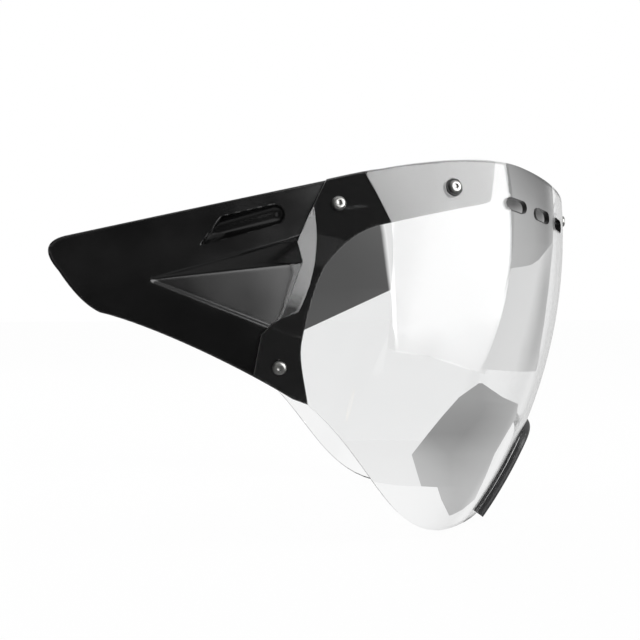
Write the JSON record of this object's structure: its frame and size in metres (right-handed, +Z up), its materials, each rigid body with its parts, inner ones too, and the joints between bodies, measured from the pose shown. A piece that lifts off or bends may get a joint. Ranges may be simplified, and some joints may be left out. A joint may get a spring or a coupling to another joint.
{
  "type": "helmet face visor",
  "caption": "Clear wrap-round face visor with a padded nose arch, brow vents, and black side arms that pivot on hubs on a helmet.",
  "frame": {"origin": "below the middle of the part's box, level with the lowest points of the cheek lobes", "axes": "+X to the wearer's left, -Y the way the wearer looks, +Z up; the part is mirrored in X = 0"},
  "size_m": [0.198, 0.249, 0.1667],
  "materials": {
    "clear_lens": "clear, polished polycarbonate",
    "black_plastic": "gloss black, moulded",
    "black_rubber": "soft, satin",
    "steel": "bright, turned",
    "brass": "turned",
    "black_nylon": "satin",
    "hub_plastic": "satin, glass-filled"
  },
  "bodies": {
    "visor": {"lens": "clear_lens", "nose_trim": "black_rubber", "right_arm": "black_plastic", "left_arm": "black_plastic", "right_plate_screws": "steel", "left_plate_screws": "steel", "right_brow_screw": "steel", "left_brow_screw": "steel", "centre_screws": "steel", "right_plate_nuts": "brass", "left_plate_nuts": "brass", "right_brow_nut": "brass", "left_brow_nut": "brass", "centre_nuts": "brass", "brow_washers": "black_nylon", "centre_bumpers": "black_rubber", "right_friction_ring": "black_rubber", "left_friction_ring": "black_rubber", "right_pivot_insert": "brass", "left_pivot_insert": "brass", "right_pivot_washer": "steel", "left_pivot_washer": "steel", "right_pivot_screw": "steel", "left_pivot_screw": "steel"},
    "right_hub": {"right_hub": "hub_plastic"},
    "left_hub": {"left_hub": "hub_plastic"}
  },
  "joints": [
    {"name": "right_hub_hinge", "type": "hinge", "parent": "visor", "child": "right_hub", "pos_m": [-0.0865, 0.09619, 0.11795], "axis": [1, 0, 0], "range_deg": [0, 55]},
    {"name": "left_hub_hinge", "type": "hinge", "parent": "visor", "child": "left_hub", "pos_m": [0.0865, 0.09619, 0.11795], "axis": [1, 0, 0], "range_deg": [0, 55]}
  ],
  "couplings": [
    {"joint": "left_hub_hinge", "follows": "right_hub_hinge", "ratio": 1}
  ]
}
